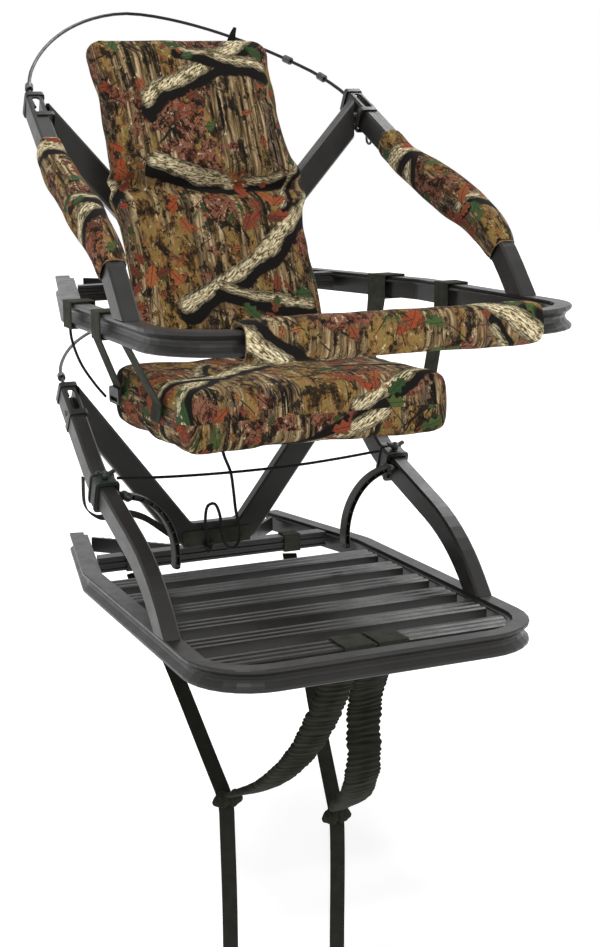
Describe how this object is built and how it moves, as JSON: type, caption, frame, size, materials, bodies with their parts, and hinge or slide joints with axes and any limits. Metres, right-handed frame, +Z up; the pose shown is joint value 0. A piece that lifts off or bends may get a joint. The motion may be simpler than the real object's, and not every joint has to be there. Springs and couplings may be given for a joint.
{
  "type": "climbing tree stand",
  "caption": "Two-section climbing tree stand: slatted foot platform with stirrups below, and a padded seat climber with armrests and a shooting rail above, each with a cable loop for the tree.",
  "frame": {"origin": "centre of the platform bite's flat face, where it meets the bark", "axes": "+X to the right seen from the front, +Y towards the tree, +Z up"},
  "size_m": [0.6176, 1.0133, 1.5153],
  "materials": {
    "frame": "dark satin paint over aluminium extrusion",
    "hardware": "blackened steel",
    "cable": "satin black coating over steel cable",
    "green_plastic": "moulded dark green plastic",
    "webbing": "dark olive woven webbing",
    "elastic": "shirred elastic sleeve",
    "camo": "printed woodland camouflage cloth",
    "cord": "black braided cord"
  },
  "bodies": {
    "platform": {"platform_ring": "frame", "platform_crossbar": "frame", "platform_tree_bite": "frame", "platform_v_brace": "frame", "platform_arm_left": "frame", "platform_arm_right": "frame", "platform_slat_1": "frame", "platform_slat_2": "frame", "platform_slat_3": "frame", "platform_slat_4": "frame", "platform_slat_5": "frame", "platform_slat_6": "frame", "platform_lever_pin": "hardware", "clamp_left": "green_plastic", "clamp_right": "green_plastic", "web_band": "webbing", "crossbar_wrap_left": "webbing", "crossbar_wrap_right": "webbing", "slat_wrap_left": "webbing", "slat_wrap_right": "webbing", "bungee_cord": "cord", "loose_strap": "webbing", "tether_cord": "cord"},
    "platform_cable": {"platform_cable": "cable", "platform_cable_stop_left": "hardware", "platform_cable_stop_right": "hardware"},
    "platform_lever": {"platform_lever": "hardware"},
    "hook_left": {"hook_left": "green_plastic"},
    "hook_right": {"hook_right": "green_plastic"},
    "wing_knob_left": {"wing_knob_left": "green_plastic"},
    "wing_knob_right": {"wing_knob_right": "green_plastic"},
    "stirrup_left": {"stirrup_strap_left": "webbing", "stirrup_elastic_left": "elastic"},
    "stirrup_right": {"stirrup_strap_right": "webbing", "stirrup_elastic_right": "elastic"},
    "seat_climber": {"seat_ring": "frame", "seat_crossbar": "frame", "seat_tree_bite": "frame", "seat_v_brace": "frame", "seat_arm_left": "frame", "seat_arm_right": "frame", "seat_lever_pin": "hardware", "armrest_cover_left": "camo", "armrest_cover_right": "camo", "front_bar_cover": "camo", "seat_pad": "camo", "seat_strap_rear_left": "webbing", "seat_strap_front_left": "webbing", "seat_strap_rear_right": "webbing", "seat_strap_front_right": "webbing", "strap_buckle_left": "green_plastic", "strap_buckle_right": "green_plastic", "side_cord": "cord"},
    "seat_cable": {"seat_cable": "cable", "seat_cable_stop_left": "hardware", "seat_cable_stop_right": "hardware", "seat_cable_stop_middle": "hardware"},
    "seat_lever": {"seat_lever": "hardware"},
    "back_lower": {"back_lower": "camo"},
    "back_upper": {"back_upper": "camo"}
  },
  "joints": [
    {"name": "seat_climb", "type": "slide", "parent": "platform", "child": "seat_climber", "axis": [0, 0, 1], "range_m": [0, 0.3]},
    {"name": "back_fold", "type": "hinge", "parent": "seat_climber", "child": "back_lower", "pos_m": [0, -0.169, 0.337], "axis": [1, 0, 0], "range_deg": [0, 60]},
    {"name": "back_crease", "type": "hinge", "parent": "back_lower", "child": "back_upper", "pos_m": [0, -0.1135, 0.5915], "axis": [1, 0, 0], "range_deg": [0, 80]},
    {"name": "seat_cable_swing", "type": "hinge", "parent": "seat_climber", "child": "seat_cable", "pos_m": [0, 0.008, 0.7124], "axis": [1, 0, 0], "range_deg": [-10, 10]},
    {"name": "platform_cable_swing", "type": "hinge", "parent": "platform", "child": "platform_cable", "pos_m": [0, -0.008, 0.2804], "axis": [1, 0, 0], "range_deg": [-10, 10]},
    {"name": "seat_lever_lift", "type": "hinge", "parent": "seat_climber", "child": "seat_lever", "pos_m": [0.285, -0.01807, 0.69755], "axis": [-1, 0, 0], "range_deg": [0, 25], "stiffness_Nm_per_rad": 0.3, "springref_deg": -5.73},
    {"name": "platform_lever_lift", "type": "hinge", "parent": "platform", "child": "platform_lever", "pos_m": [0.255, -0.03215, 0.2626], "axis": [-1, 0, 0], "range_deg": [0, 25], "stiffness_Nm_per_rad": 0.3, "springref_deg": -5.73},
    {"name": "hook_left_swing", "type": "hinge", "parent": "platform", "child": "hook_left", "pos_m": [-0.218, -0.222, 0.156], "axis": [0, -1, 0], "range_deg": [0, 60]},
    {"name": "hook_right_swing", "type": "hinge", "parent": "platform", "child": "hook_right", "pos_m": [0.218, -0.222, 0.156], "axis": [0, 1, 0], "range_deg": [0, 60]},
    {"name": "wing_knob_left_turn", "type": "hinge", "parent": "platform", "child": "wing_knob_left", "pos_m": [-0.23561, -0.19, 0.15765], "axis": [0, -0.3374, 0.9414], "continuous": true},
    {"name": "wing_knob_right_turn", "type": "hinge", "parent": "platform", "child": "wing_knob_right", "pos_m": [0.23561, -0.19, 0.15765], "axis": [0, -0.3374, 0.9414], "continuous": true},
    {"name": "stirrup_left_swing", "type": "hinge", "parent": "platform", "child": "stirrup_left", "pos_m": [-0.136, -0.01665, -0.019], "axis": [0.2118, -0.9773, -0.011], "range_deg": [-15, 15]},
    {"name": "stirrup_right_swing", "type": "hinge", "parent": "platform", "child": "stirrup_right", "pos_m": [0.136, -0.01665, -0.019], "axis": [-0.1953, -0.9807, -0.0111], "range_deg": [-15, 15]}
  ]
}
